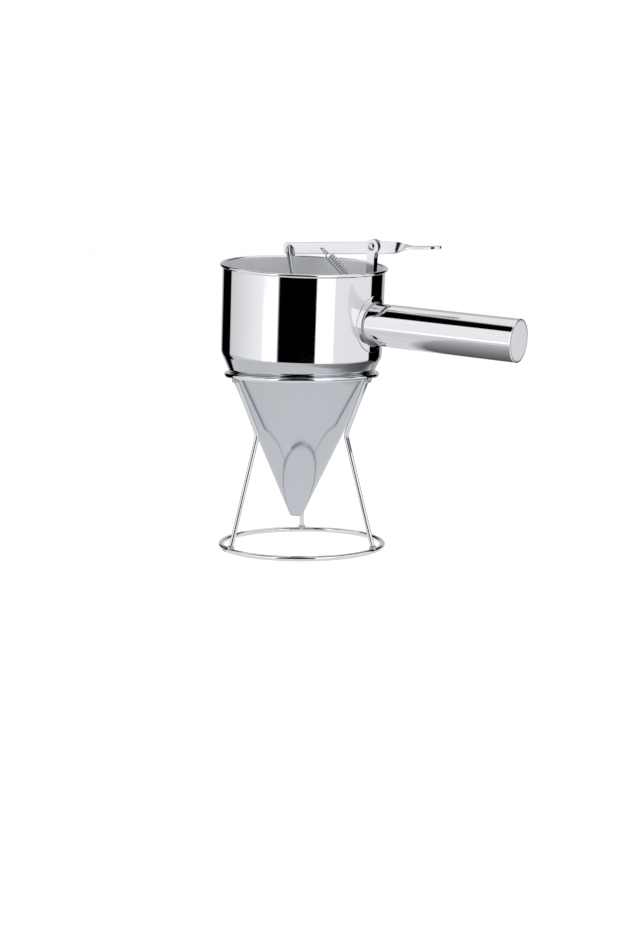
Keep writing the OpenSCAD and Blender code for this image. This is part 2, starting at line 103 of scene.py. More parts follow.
def mesh_object(name, verts, faces, place, sharp=40):
    """A piece from points in millimetres, set in the row's frame."""
    mesh = bpy.data.meshes.new(name)
    mesh.from_pydata([(place @ Vector(v)) * MM for v in verts], [], faces)
    work = bmesh.new()
    work.from_mesh(mesh)
    bmesh.ops.remove_doubles(work, verts=work.verts, dist=1e-6)
    bmesh.ops.recalc_face_normals(work, faces=work.faces)
    work.to_mesh(mesh)
    work.free()
    smooth(mesh, sharp)
    return new_object(name, mesh)


def smooth(mesh, sharp):
    mesh.shade_smooth()
    mesh.set_sharp_from_angle(angle=math.radians(sharp))


def revolve(name, outline, place, segments=256):
    """A closed outline of (radius, height) turned about the frame's Z."""
    verts, faces = [], []
    count = len(outline)
    for i in range(segments):
        a = 2 * math.pi * i / segments
        verts += [(r * math.cos(a), r * math.sin(a), z) for r, z in outline]
    for i in range(segments):
        j = (i + 1) % segments
        for k in range(count):
            m = (k + 1) % count
            if outline[k][0] == 0 and outline[m][0] == 0:
                continue
            faces.append((i * count + k, j * count + k, j * count + m, i * count + m))
    return mesh_object(name, verts, faces, place)


def arc(cx, cz, r, start, stop, steps):
    """Points of an arc in (radius, height), angles in degrees."""
    angles = [math.radians(start + (stop - start) * i / steps) for i in range(steps + 1)]
    return [(cx + r * math.cos(a), cz + r * math.sin(a)) for a in angles]


def loft(name, rings, place):
    """A closed skin through rings of points, with flat ends."""
    verts = [p for ring in rings for p in ring]
    n = len(rings[0])
    faces = [(i * n + k, i * n + (k + 1) % n, (i + 1) * n + (k + 1) % n, (i + 1) * n + k)
             for i in range(len(rings) - 1) for k in range(n)]
    faces += [tuple(range(n - 1, -1, -1)), tuple(range((len(rings) - 1) * n, len(rings) * n))]
    return mesh_object(name, verts, faces, place)


def apply_modifiers(obj):
    """Turns what the modifiers make into the piece's own mesh."""
    evaluated = obj.evaluated_get(bpy.context.evaluated_depsgraph_get())
    mesh = bpy.data.meshes.new_from_object(evaluated)
    obj.modifiers.clear()
    obj.data = mesh


def ease_edges(obj, width):
    """Rounds the edges where two faces clearly turn."""
    bevel = obj.modifiers.new("edges", "BEVEL")
    bevel.width, bevel.segments = width * MM, 2
    bevel.limit_method, bevel.angle_limit = "ANGLE", math.radians(35)
    apply_modifiers(obj)


def from_solid(name, node, ease, sharp=35):
    """A merged copy of a solid's mesh, with its edges eased."""
    source = frame["nodes"][node]
    mesh = source.data.copy()
    obj = new_object(name, mesh)
    mesh.transform(source.matrix_world)
    mesh.materials.clear()
    work = bmesh.new()
    work.from_mesh(mesh)
    bmesh.ops.remove_doubles(work, verts=work.verts, dist=2e-6)
    bmesh.ops.dissolve_limit(work, angle_limit=math.radians(1), verts=work.verts, edges=work.edges)
    work.to_mesh(mesh)
    work.free()
    ease_edges(obj, ease)
    smooth(obj.data, sharp)
    return obj


# Round wire: one node tree sweeps a circle along any line of points
def wire_tree():
    tree = bpy.data.node_groups.new("round wire", "GeometryNodeTree")
    face = tree.interface
    face.new_socket("Geometry", in_out="INPUT", socket_type="NodeSocketGeometry")
    for label, kind in (("Wire radius", "NodeSocketFloat"), ("Sides", "NodeSocketInt"),
                        ("Finish", "NodeSocketMaterial")):
        face.new_socket(label, in_out="INPUT", socket_type=kind)
    face.new_socket("Geometry", in_out="OUTPUT", socket_type="NodeSocketGeometry")
    add, join = tree.nodes.new, tree.links.new
    source, result = add("NodeGroupInput"), add("NodeGroupOutput")
    circle, sweep = add("GeometryNodeCurvePrimitiveCircle"), add("GeometryNodeCurveToMesh")
    shade, realize = add("GeometryNodeSetShadeSmooth"), add("GeometryNodeRealizeInstances")
    finish = add("GeometryNodeSetMaterial")
    sweep.inputs["Fill Caps"].default_value = True
    join(source.outputs["Wire radius"], circle.inputs["Radius"])
    join(source.outputs["Sides"], circle.inputs["Resolution"])
    join(source.outputs["Geometry"], sweep.inputs["Curve"])
    join(circle.outputs["Curve"], sweep.inputs["Profile Curve"])
    join(sweep.outputs["Mesh"], shade.inputs["Geometry"])
    join(shade.outputs["Geometry"], realize.inputs["Geometry"])
    join(realize.outputs["Geometry"], finish.inputs["Geometry"])
    join(source.outputs["Finish"], finish.inputs["Material"])
    join(finish.outputs["Geometry"], result.inputs["Geometry"])
    return tree


def set_input(modifier, label, value):
    for item in modifier.node_group.interface.items_tree:
        if item.item_type == "SOCKET" and item.in_out == "INPUT" and item.name == label:
            modifier[item.identifier] = value


def wire(name, points, radius, place, finish, closed=False, sides=24):
    """Round wire along a line of points in millimetres."""
    curve = bpy.data.curves.new(name, "CURVE")
    curve.dimensions = "3D"
    spline = curve.splines.new("POLY")
    spline.points.add(len(points) - 1)
    for target, point in zip(spline.points, points):
        target.co = ((place @ Vector(point)) * MM).to_4d()
    spline.use_cyclic_u = closed
    path = new_object(name + "_path", curve)
    sweep = path.modifiers.new("wire", "NODES")
    sweep.node_group = WIRE_TREE
    set_input(sweep, "Wire radius", radius * MM)
    set_input(sweep, "Sides", sides)
    set_input(sweep, "Finish", finish)
    evaluated = path.evaluated_get(bpy.context.evaluated_depsgraph_get())
    mesh = bpy.data.meshes.new_from_object(evaluated)
    bpy.data.objects.remove(path)
    work = bmesh.new()
    work.from_mesh(mesh)
    bmesh.ops.recalc_face_normals(work, faces=work.faces)
    work.to_mesh(mesh)
    work.free()
    smooth(mesh, 50)
    return new_object(name, mesh)


def rounded_path(corners, radii, steps=14):
    """Points of a bent line with a true arc at each inner corner."""
    corners = [Vector(c) for c in corners]
    path = [corners[0]]
    for i, radius in enumerate(radii, start=1):
        into = (corners[i] - corners[i - 1]).normalized()
        away = (corners[i + 1] - corners[i]).normalized()
        turn = into.angle(away)
        cut = radius * math.tan(turn / 2)
        side = (away - into * into.dot(away)).normalized()
        centre = corners[i] - into * cut + side * radius
        for k in range(steps + 1):
            a = turn * k / steps
            path.append(centre - side * radius * math.cos(a) + into * radius * math.sin(a))
    return path + [corners[-1]]


# Finishes
def new_nodes(tree, *kinds):
    """One new node of each kind."""
    return [tree.nodes.new(kind) for kind in kinds]


def steel(name, colour, rough, wear=0.02, grain=None, grain_depth=0.0, lumps=0.0, lump_size=8.0, tint=0.03,
          metal=1.0):
    """Bare steel: an even gloss broken by faint smears, with brush lines along grain if it has them."""
    material = bpy.data.materials.new(name)
    material.use_nodes = True
    tree = material.node_tree
    shader = tree.nodes["Principled BSDF"]
    add, join = tree.nodes.new, tree.links.new
    place, smear, level = new_nodes(tree, "ShaderNodeTexCoord", "ShaderNodeTexNoise", "ShaderNodeMapRange")
    shader.inputs["Metallic"].default_value = metal
    smear.inputs["Scale"].default_value = 38.0
    smear.inputs["Detail"].default_value = 4.0
    join(place.outputs["Object"], smear.inputs["Vector"])
    level.inputs["From Min"].default_value, level.inputs["From Max"].default_value = 0.35, 0.7
    level.inputs["To Min"].default_value, level.inputs["To Max"].default_value = rough, rough + wear
    join(smear.outputs["Fac"], level.inputs["Value"])
    join(level.outputs["Result"], shader.inputs["Roughness"])
    shade = add("ShaderNodeMix")
    shade.data_type = "RGBA"
    shade.inputs["A"].default_value = (*colour, 1)
    shade.inputs["B"].default_value = (*[c * (1 - tint) for c in colour], 1)
    join(smear.outputs["Fac"], shade.inputs["Factor"])
    join(shade.outputs["Result"], shader.inputs["Base Color"])
    height = None
    if grain:
        stretch = add("ShaderNodeMapping")
        stretch.inputs["Scale"].default_value = grain
        lines = add("ShaderNodeTexNoise")
        lines.inputs["Scale"].default_value = 1.0
        lines.inputs["Detail"].default_value = 3.0
        join(place.outputs["Object"], stretch.inputs["Vector"])
        join(stretch.outputs["Vector"], lines.inputs["Vector"])
        height = (lines.outputs["Fac"], grain_depth)
    if lumps:
        bumps = add("ShaderNodeTexNoise")
        bumps.inputs["Scale"].default_value = 1000.0 / lump_size
        join(place.outputs["Object"], bumps.inputs["Vector"])
        height = (bumps.outputs["Fac"], lumps)
    if height:
        bump = add("ShaderNodeBump")
        bump.inputs["Strength"].default_value = 1.0
        bump.inputs["Distance"].default_value = height[1] * MM
        join(height[0], bump.inputs["Height"])
        join(bump.outputs["Normal"], shader.inputs["Normal"])
    return material


POLISHED = steel("polished sheet", (0.78, 0.785, 0.80), 0.03, wear=0.02)
TUBE = steel("polished tube", (0.78, 0.785, 0.80), 0.03, wear=0.02)
SATIN = steel("satin cone", (0.61, 0.63, 0.66), 0.08, wear=0.03)
WIRE = steel("polished wire", (0.79, 0.80, 0.815), 0.05, wear=0.04)
WELD = steel("brushed weld", (0.58, 0.58, 0.6), 0.28, wear=0.15, lumps=0.12, lump_size=1.6, tint=0.2)
CAP = steel("brushed cap", (0.80, 0.81, 0.84), 0.4, wear=0.06, metal=0.25)
INSIDE = steel("inside of the sheet", (0.86, 0.87, 0.89), 0.3, wear=0.05, metal=0.6)
BRACKET = steel("pressed bracket", (0.74, 0.745, 0.76), 0.06, wear=0.04)
RIVET = steel("rivet", (0.70, 0.71, 0.73), 0.12, wear=0.06)
STRIP = steel("brushed lever", (0.76, 0.765, 0.78), 0.14, wear=0.04, grain=(30, 500, 500), grain_depth=0.006)
SPRING = steel("drawn spring wire", (0.71, 0.72, 0.74), 0.08, wear=0.05)
ROD = steel("polished rod", (0.52, 0.53, 0.55), 0.05, wear=0.04)
WIRE_TREE = wire_tree()


def finish_piece(obj, body, slot, material, *nodes):
    """Gives a piece its finish and its body, and hides the solids that it stands for."""
    weigh = obj.modifiers.new("flat faces", "WEIGHTED_NORMAL")
    weigh.keep_sharp = True
    apply_modifiers(obj)
    obj.data.materials.clear()
    obj.data.materials.append(material)
    for poly in obj.data.polygons:
        poly.material_index = 0
    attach(obj, body)
    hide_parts(*nodes)


def line_inside(obj, material):
    """Gives the faces that look into the funnel a finish of their own."""
    obj.data.materials.append(material)
    back = FUNNEL.inverted()
    for poly in obj.data.polygons:
        at = back @ (poly.center / MM)
        normal = back.to_3x3() @ poly.normal
        if normal.x * at.x + normal.y * at.y < 0 and math.hypot(at.x, at.y) < WALL_IN + INSIDE_MARGIN:
            poly.material_index = 1


# Funnel
def bowl_shell():
    """The straight wall, with the rolled rim at its top."""
    outline = [(WALL_IN, SEAM_Z)]
    outline += [(WALL_IN, SEAM_Z + (BEAD_Z - SEAM_Z) * i / 8) for i in range(1, 8)]
    centre = WALL_IN + BEAD_R
    outline += arc(centre, BEAD_Z, BEAD_R, 180, -100, 28)
    outline += arc(centre, BEAD_Z, BEAD_R - SHEET, -100, 180, 16)
    outline += [(BOWL_R, BEAD_Z - (BEAD_Z - SEAM_Z) * i / 8) for i in range(1, 8)]
    outline.append((BOWL_R, SEAM_Z))
    bowl = revolve("bowl_shell", outline, FUNNEL)
    finish_piece(bowl, "funnel", "polished_sheet", POLISHED, "bowl")
    line_inside(bowl, INSIDE)


def cone_shell():
    """The shoulder under the wall, and the cone down to the outlet."""
    centre = BOWL_R - SHOULDER_R
    low = -math.degrees(HALF_ANGLE)
    outside = [(OUTLET_R, 0.0)]
    start = arc(centre, SEAM_Z, SHOULDER_R, low, low, 1)[0]
    outside += [(OUTLET_R + (start[0] - OUTLET_R) * t / 12, start[1] * t / 12) for t in range(1, 12)]
    outside += arc(centre, SEAM_Z, SHOULDER_R, low, 0, 10)
    inside = arc(centre, SEAM_Z, SHOULDER_R - SHEET, 0, low, 10)
    last = inside[-1]
    tip = OUTLET_R - SHEET / math.cos(HALF_ANGLE)
    inside += [(last[0] + (tip - last[0]) * t / 12, last[1] * (1 - t / 12)) for t in range(1, 13)]
    cone = revolve("cone_shell", outside + inside, FUNNEL)
    finish_piece(cone, "funnel", "satin_sheet", SATIN, "cone")
    line_inside(cone, INSIDE)


def on_wall(y, z, radius):
    """A point of the bowl's wall, raised to a radius, on the side of the handle."""
    return (math.sqrt(max(radius ** 2 - y ** 2, 0)), y, z)


def closed_skin(rings, sides):
    """Faces between rings of points that meet end to end."""
    return [(i * sides + k, (i + 1) % rings * sides + k, (i + 1) % rings * sides + (k + 1) % sides,
             i * sides + (k + 1) % sides) for i in range(rings) for k in range(sides)]


def flange_plate():
    """The thin round plate at the handle's root, curved like the wall it lies on."""
    rings = []
    under, outer, edge = BOWL_R + FLANGE_PLAY, BOWL_R + FLANGE_T, FLANGE_EDGE
    stops = [(HANDLE_R - 1, under), (FLANGE_R, under), (FLANGE_R, outer - edge),
             (FLANGE_R - edge * 0.3, outer - edge * 0.3), (FLANGE_R - edge, outer), (HANDLE_R + 3, outer),
             (HANDLE_R - 1, outer)]
    steps = 160
    for i in range(steps):
        a = 2 * math.pi * i / steps
        rings.append([on_wall(r * math.cos(a), HANDLE_Z + r * math.sin(a), w) for r, w in stops])
    verts = [p for ring in rings for p in ring]
    plate = mesh_object("flange_plate", verts, closed_skin(steps, len(stops)), FUNNEL)
    finish_piece(plate, "funnel", "polished_sheet", POLISHED, "handle_flange")


def handle_tube():
    """The tube is coped to the wall, and its far end is eased round the cap."""
    steps, ease, inside = 160, TUBE_EASE, HANDLE_R - HANDLE_WALL
    # Each stop has its radius, its share of the way from the root to the end, and a shift along it
    stops = [(HANDLE_R, 0, 0), (HANDLE_R, 0.05, 0), (HANDLE_R, 0.35, 0), (HANDLE_R, 0.7, 0),
             (HANDLE_R, 1, -3 * ease), (HANDLE_R, 1, -ease), (HANDLE_R - ease * 0.3, 1, -ease * 0.3),
             (HANDLE_R - ease, 1, 0), (inside + BORE_EASE, 1, 0), (inside, 1, -BORE_EASE),
             (inside, 0.5, 0), (inside, 0, 0)]
    verts = []
    for i in range(steps):
        a = 2 * math.pi * i / steps
        for r, share, shift in stops:
            y, z = r * math.cos(a), r * math.sin(a)
            root = math.sqrt((BOWL_R + ROOT_PLAY) ** 2 - y * y)
            verts.append((root + (HANDLE_END - root) * share + shift, y, HANDLE_Z + z))
    tube = mesh_object("handle_skin", verts, closed_skin(steps, len(stops)), FUNNEL)
    finish_piece(tube, "funnel", "polished_tube", TUBE, "handle_tube")


def along_handle():
    """A frame whose Z runs along the handle from its axis at the bowl's centre."""
    return FUNNEL @ Matrix.Translation((0, 0, HANDLE_Z)) @ Matrix.Rotation(math.pi / 2, 4, "Y")


def end_cap():
    """The disc in the tube's end, with a groove round its edge."""
    inside, top, ease = HANDLE_R - HANDLE_WALL, HANDLE_END, CAP_EASE
    outline = [(0, top - CAP_T), (inside - CAP_PLAY, top - CAP_T), (inside - CAP_PLAY, top - CAP_GROOVE),
               (inside - CAP_GROOVE, top - CAP_GROOVE), (inside - CAP_GROOVE, top - ease)]
    outline += arc(inside - CAP_GROOVE - ease, top - ease, ease, 0, 90, 4)
    outline += [(inside * 0.6, top), (0, top)]
    disc = revolve("end_disc", outline, along_handle(), 128)
    finish_piece(disc, "funnel", "brushed_cap", CAP, "handle_end_cap")


def root_weld():
    """A bead round the root of the tube, with the ripples that a welder leaves."""
    steps, sides, ripples = 220, 12, 46
    ripple_share, uneven_share, bead_share, bead_out = 0.12, 0.1, 0.72, 0.15
    rings = []
    for i in range(steps):
        a = 2 * math.pi * i / steps
        uneven = noise.noise(Vector((math.cos(a) * 3, math.sin(a) * 3, 5)))
        radius = WELD_R * bead_share * (1 + ripple_share * math.sin(a * ripples) + uneven_share * uneven)
        along = Vector((0, math.cos(a), math.sin(a)))
        foot = Vector(on_wall(HANDLE_R * along.y, HANDLE_Z + HANDLE_R * along.z, BOWL_R + FLANGE_T))
        centre = foot + along * bead_out
        rings.append([centre + radius * (math.cos(b) * along + math.sin(b) * Vector((1, 0, 0)))
                      for b in [2 * math.pi * k / sides for k in range(sides)]])
    verts = [p for ring in rings for p in ring]
    bead = mesh_object("root_bead", verts, closed_skin(steps, sides), FUNNEL, sharp=80)
    finish_piece(bead, "funnel", "weld", WELD, "handle_root_weld")


def bracket_and_rivet():
    """The pressed pieces and the rivet keep the solids' shapes, with eased edges."""
    bracket = from_solid("bracket_channel", "lever_bracket", ease=0.18)
    finish_piece(bracket, "funnel", "bracket_sheet", BRACKET, "lever_bracket")
    spots = from_solid("bracket_spots", "bracket_spot_welds", ease=0.1)
    finish_piece(spots, "funnel", "weld", WELD, "bracket_spot_welds")
    rivet = from_solid("rivet_heads", "pivot_rivet", ease=0.08, sharp=50)
    finish_piece(rivet, "funnel", "rivet", RIVET, "pivot_rivet")
    washers = from_solid("rivet_washers", "pivot_washers", ease=0.12)
    finish_piece(washers, "funnel", "rivet", RIVET, "pivot_washers")


# Lever
def rounded_box(across, up, width, height):
    """A ring of points round a rectangle with eased corners, in the plane of two directions."""
    ring, corner, steps = [], STRIP_EDGE, 3
    for quarter in range(4):
        sx, sy = ((1, 1), (-1, 1), (-1, -1), (1, -1))[quarter]
        cx, cy = sx * (width / 2 - corner), sy * (height / 2 - corner)
        for k in range(steps + 1):
            a = math.pi / 2 * (quarter + k / steps)
            ring.append(across * (cx + corner * math.cos(a)) + up * (cy + corner * math.sin(a)))
    return ring


def lever_blade():
    """A strip on edge, twisted a quarter turn past the pivot into the thumb tab."""
    tail, corner = -HOOK_ARM - STRIP_TAIL, STRIP_CORNER
    flat_from = TWIST_FROM + TWIST_LEN
    round_at = THUMB_REACH - THUMB_W / 2
    stations = [tail + corner * (1 - math.cos(math.pi / 2 * k / 8)) for k in range(1, 9)]
    stations += [tail + corner + (TWIST_FROM - tail - corner) * k / 30 for k in range(1, 31)]
    stations += [TWIST_FROM + TWIST_LEN * k / 40 for k in range(1, 41)]
    stations += [flat_from + (round_at - flat_from) * k / 14 for k in range(1, 15)]
    stations += [round_at + THUMB_W / 2 * math.sin(math.pi / 2 * k / 14) for k in range(1, 14)]
    rings = []
    for u in [tail + 0.02] + stations:
        width = LEVER_W
        if u < tail + corner:
            width = LEVER_W - 2 * corner + 2 * math.sqrt(max(corner ** 2 - (tail + corner - u) ** 2, 0))
        if u > flat_from:
            t = min((u - flat_from) / (round_at - flat_from), 1)
            width = LEVER_W + (THUMB_W - LEVER_W) * t * t * (3 - 2 * t)
        if u > round_at:
            width = max(2 * math.sqrt(max((THUMB_W / 2) ** 2 - (u - round_at) ** 2, 0)), THUMB_EDGE_W)
        t = min(max((u - TWIST_FROM) / TWIST_LEN, 0), 1)
        turn = math.pi / 2 * t * t * (3 - 2 * t)
        up = Vector((0, math.sin(turn), math.cos(turn)))
        across = Vector((0, math.cos(turn), -math.sin(turn)))
        rings.append([Vector((u, 0, -STRIP_DROP)) + p for p in rounded_box(across, up, LEVER_T, width)])
    blade = loft("lever_blade", rings, LEVER)
    holes = ((-HOOK_ARM, 0, ROD_R + HOOK_HOLE_PLAY), (-SPRING_ARM, SPRING_DROP, SPRING_HOLE_R),
             (0, 0, PIVOT_HOLE_R))
    for at, down, radius in holes:
        place = LEVER @ Matrix.Translation((at, 0, -down)) @ Matrix.Rotation(math.pi / 2, 4, "X")
        drill(blade, place, radius)
    smooth(blade.data, 35)
    finish_piece(blade, "lever", "lever_strip", STRIP, "lever")


def drill(obj, place, radius):
    """Cuts a round hole through a piece, along the Z of a frame."""
    reach = 5
    tool = revolve("drill", [(0, -reach), (radius, -reach), (radius, reach), (0, reach)], place, 48)
    cut = obj.modifiers.new("hole", "BOOLEAN")
    cut.object, cut.operation, cut.solver = tool, "DIFFERENCE", "EXACT"
    apply_modifiers(obj)
    bpy.data.objects.remove(tool)


# Valve
def valve():
    """The rod hooks through the lever, and is joggled to the funnel's axis over the plug."""
    hook = Vector((-HOOK_ARM * math.cos(rest), 0, -HOOK_ARM * math.sin(rest))) + PIVOT
    corners = [(hook.x, HOOK_HALF, hook.z - HOOK_TAIL), (hook.x, HOOK_HALF, hook.z),
               (hook.x, -HOOK_HALF, hook.z), (0, 0, JOGGLE_Z), (0, 0, PLUG_Z)]
    bend = HOOK_HALF - LEVER_T / 2
    rod = wire("valve_stem", rounded_path(corners, [bend, bend, JOGGLE_R]), ROD_R, FUNNEL, ROD, sides=32)
    finish_piece(rod, "valve", "rod", ROD, "valve_rod")
    plug = from_solid("valve_stopper", "valve_plug", ease=0.2)
    finish_piece(plug, "valve", "rod", ROD, "valve_plug")
    nut = from_solid("stopper_nut", "plug_nut", ease=0.2)
    finish_piece(nut, "valve", "rod", ROD, "plug_nut")


def spring():
    """The extension spring: hook, lead, turns, lead and hook, on the line between its two holes."""
    cos_rest, sin_rest = math.cos(rest), math.sin(rest)
    top = PIVOT + Vector((-SPRING_ARM * cos_rest + SPRING_DROP * sin_rest, 0,
                          -SPRING_ARM * sin_rest - SPRING_DROP * cos_rest))
    foot = Vector((WALL_IN - ANCHOR_INSET, 0, PIVOT.z - ANCHOR_DROP))
    axis = (foot - top).normalized()
    side = Vector((0, -1, 0))
    third = axis.cross(side)
    length = (foot - top).length
    round_turn = 2 * math.pi * SPRING_R
    pitch_angle = math.atan(round_turn / SPRING_PITCH)
    bend = LEAD_BEND_R
    bend_s, bend_c = bend * math.sin(pitch_angle), bend * (1 - math.cos(pitch_angle))
    body = 2 * bend_s + (SPRING_TURNS * round_turn - 2 * bend_c) * SPRING_PITCH / round_turn
    lead = (length - 2 * SPRING_R - body) / 2

    def place(s, c):
        a = c / SPRING_R
        return top + axis * s + SPRING_R * (math.cos(a) * side + math.sin(a) * third)

    def hook(s, y):
        return top + axis * s + side * (SPRING_R * y)

    first = []
    for i in range(25):
        b = -SPRING_HOOK_TURN + (SPRING_HOOK_TURN + math.pi / 2) * i / 24
        first.append((SPRING_R - SPRING_R * math.cos(b), math.sin(b)))
    bends = []
    for i in range(9):
        t = pitch_angle * i / 8
        bends.append((SPRING_R + lead + bend * math.sin(t), bend * (1 - math.cos(t))))
    steps = SPRING_TURNS * 24
    total = SPRING_TURNS * round_turn
    line = [hook(s, y) for s, y in first] + [place(s, c) for s, c in bends]
    begin = SPRING_R + lead + bend_s
    for i in range(1, steps):
        c = bend_c + i * (total - 2 * bend_c) / steps
        line.append(place(begin + (c - bend_c) * SPRING_PITCH / round_turn, c))
    line += [place(length - s, total - c) for s, c in reversed(bends)]
    line += [hook(length - s, y) for s, y in reversed(first)]
    coil = wire("return_spring", line, SPRING_WIRE / 2, FUNNEL, SPRING, sides=12)
    coil.data.materials.clear()
    coil.data.materials.append(SPRING)
    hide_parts("lever_spring")
    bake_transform(coil)


# Stand
def ring_points(radius, z, count=240):
    return [(radius * math.cos(2 * math.pi * i / count), radius * math.sin(2 * math.pi * i / count), z)
            for i in range(count)]


def bend_reach(azimuth):
    """How far from the axis a leg has its bend: it stands off where the leaning cone comes nearer."""
    # The ring touches the cone on both sides, so its tip lies a drop under the ring and a shift off the axis
    near, far, off = HALF_ANGLE + LEAN, HALF_ANGLE - LEAN, RING_WIRE / 2 + SEAT_GAP
    width = 2 * TOP_RING_R - off * (1 / math.cos(near) + 1 / math.cos(far))
    drop = width / (math.tan(near) + math.tan(far))
    shift = TOP_RING_R - off / math.cos(near) - drop * math.tan(near)
    # A line from the tip makes the half angle with the leaning axis: a quadratic in how far out it gets
    high, c, s = LEG_BEND_Z - (STAND_H - RING_WIRE / 2 - drop), math.cos(HALF_ANGLE) ** 2, math.sin(LEAN)
    across, k = math.cos(azimuth - HEADING), high * math.cos(LEAN) - shift * s
    qa, qb = (s * across) ** 2 - c, 2 * across * (s * k + c * shift)
    qc = k * k - c * (shift ** 2 + high ** 2)
    reach = (-qb - math.sqrt(qb * qb - 4 * qa * qc)) / (2 * qa)
    return max(LEG_BEND_IN, reach + (LEG_WIRE / 2 + SEAT_GAP) / math.cos(HALF_ANGLE))


def weld_lump(centre, seed):
    """Points of a small uneven ball."""
    verts, faces = [], []
    rows, cols, uneven_share, waves = 10, 18, 0.1, 2.2
    for i in range(rows + 1):
        for k in range(cols):
            a, b = math.pi * i / rows, 2 * math.pi * k / cols
            way = Vector((math.sin(a) * math.cos(b), math.sin(a) * math.sin(b), math.cos(a)))
            size = WELD_BALL_R * (1 + uneven_share * noise.noise(way * waves + Vector((seed, 0, 0))))
            verts.append(centre + way * size)
    for i in range(rows):
        for k in range(cols):
            m = (k + 1) % cols
            faces.append((i * cols + k, i * cols + m, (i + 1) * cols + m, (i + 1) * cols + k))
    return verts, faces


def stand():
    """Two rings, three bent legs, and a bead of weld at each end of a leg."""
    half = RING_WIRE / 2
    ring_z = STAND_H - half
    top = wire("top_ring_wire", ring_points(TOP_RING_R, ring_z), half, STAND, WIRE, closed=True, sides=32)
    finish_piece(top, "stand", "wire", WIRE, "stand_top_ring")
    base = wire("base_ring_wire", ring_points(BASE_RING_R, half), half, STAND, WIRE, closed=True, sides=32)
    finish_piece(base, "stand", "wire", WIRE, "stand_base_ring")
    lumps = {"top": ([], []), "foot": ([], [])}
    for label, azimuth in LEG_AZIMUTHS.items():
        node = "stand_leg_" + label
        turned = math.radians(azimuth)
        corners = [(TOP_RING_R, 0, ring_z), (bend_reach(turned), 0, LEG_BEND_Z), (BASE_RING_R, 0, half)]
        place = Matrix.Rotation(turned, 4, "Z")
        leg = wire(node + "_wire", rounded_path(corners, [LEG_BEND_R]), LEG_WIRE / 2, place, WIRE, sides=32)
        finish_piece(leg, "stand", "wire", WIRE, node)
        bend = Vector(corners[1])
        for where, corner, outward in (("top", corners[0], WELD_OUT), ("foot", corners[2], 0)):
            end = Vector(corner)
            along = (bend - end).normalized()
            centre = place @ (end + along * half + Vector((-along.z, 0, along.x)) * outward)
            verts, faces = weld_lump(centre, azimuth)
            store = lumps[where]
            base_index = len(store[0])
            store[0].extend(verts)
            store[1].extend([tuple(base_index + i for i in f) for f in faces])
    for where, (verts, faces) in lumps.items():
        beads = mesh_object("weld_lumps_" + where, verts, faces, STAND, sharp=80)
        finish_piece(beads, "stand", "weld", WELD, f"stand_{where}_welds")
    flash = from_solid("ring_joint_flash", "base_ring_joint", ease=0.1)
    finish_piece(flash, "stand", "weld", WELD, "base_ring_joint")


bowl_shell()
cone_shell()
flange_plate()
handle_tube()
end_cap()
root_weld()
bracket_and_rivet()
lever_blade()
valve()
spring()
stand()

# Camera, as the photograph was taken
AZIMUTH, ELEVATION, DISTANCE, TARGET_Z = math.radians(30), math.radians(6), 1150, 95
FRAME_W, FRAME_H = 620, 930
SCALE_PX, TARGET_U, TARGET_V = 1.5, 301.7, 405.3
back = Vector((math.sin(AZIMUTH) * math.cos(ELEVATION), -math.cos(AZIMUTH) * math.cos(ELEVATION),
               math.sin(ELEVATION)))
right = Vector((math.cos(AZIMUTH), math.sin(AZIMUTH), 0))
data = bpy.data.cameras.new("camera")
data.sensor_width = 36
data.lens = SCALE_PX * DISTANCE / FRAME_H * data.sensor_width
data.shift_x = (FRAME_W / 2 - TARGET_U) / FRAME_H
data.shift_y = (TARGET_V - FRAME_H / 2) / FRAME_H
data.clip_end = 100
camera = new_object("camera", data)
turn = Matrix((right, back.cross(right), back)).transposed().to_4x4()
turn.translation = (Vector((0, 0, TARGET_Z)) + back * DISTANCE) * MM
camera.matrix_world = turn
bpy.context.scene.camera = camera


# Studio: brightnesses that the steel mirrors. Degrees round are counted from the camera's side
CAMERA_SIDE = math.degrees(AZIMUTH) - 90
BANDS = ((-180, 0.6), (-160, 0.5), (-157, 0.0), (-123.5, 0.0), (-122.5, 0.735), (-59, 1.09), (-58, 1.4),
         (-35.6, 1.4), (-35, 0.0), (18.7, 0.0), (19.3, 1.4), (45.6, 1.4), (46.4, 0.98), (111.5, 0.95),
         (112.5, 0.0), (148.5, 0.0), (150, 0.5), (180, 0.6))
# The bands end at these degrees up, where the ceiling and the ground take over
CEILING_FROM, GROUND_FROM = ((42, 0), (46, 1)), ((-34, 0), (-26, 1))
CEILING, GROUND, BLACK, GREY = (0.98, 0.98, 0.99, 1), (0.8, 0.8, 0.81, 1), (0, 0, 0, 1), (1.05, 1.05, 1.06, 1)
# Patches of another tone: how much of it shows at degrees round, and at degrees up
BOARD = ((-120, 0), (-118, 1), (-53, 1), (-51, 0)), ((44, 0), (45.5, 1), (68, 1), (70, 0))
FRONT = ((-35.6, 0), (-35, 1), (18.7, 1), (19.3, 0)), ((74, 1), (77, 0))
WALL = ((-60, 0), (-58, 1), (-50, 1), (-48, 0)), ((-10, 0), (-8, 1))
# The table: millimetres from the stand's axis, and brightness. It ends sooner behind the stand
TABLE = ((0, 0.84), (90, 0.82), (200, 0.76), (350, 0.8), (480, 0.9))
TABLE_BEHIND, TABLE_FRONT, TABLE_SUNK = 330, (-115, 105), 0.2
# The painted shade under the handle: a sheet that only the steel sees, painted darker where the handle and
# funnel shade the table. Its extent, its height and its fade in millimetres, and its brightness from front to
# back
SHADE_CARD_X, SHADE_CARD_Y, SHADE_CARD_Z, SHADE_CARD_FADE = (56, 134), (-105, 110), 92, 14
SHADE_CARD_TONES = ((-105, 0.62), (-66, 0.5), (-60, 0.45), (-32, 0.33), (-4, 0.2), (25, 0.125), (110, 0.09))
FLOOR_SIZE, FLOOR_TONE, FLOOR_GLOW, ROOM_LIGHT = 20.0, 0.5, 0.72, 0.55


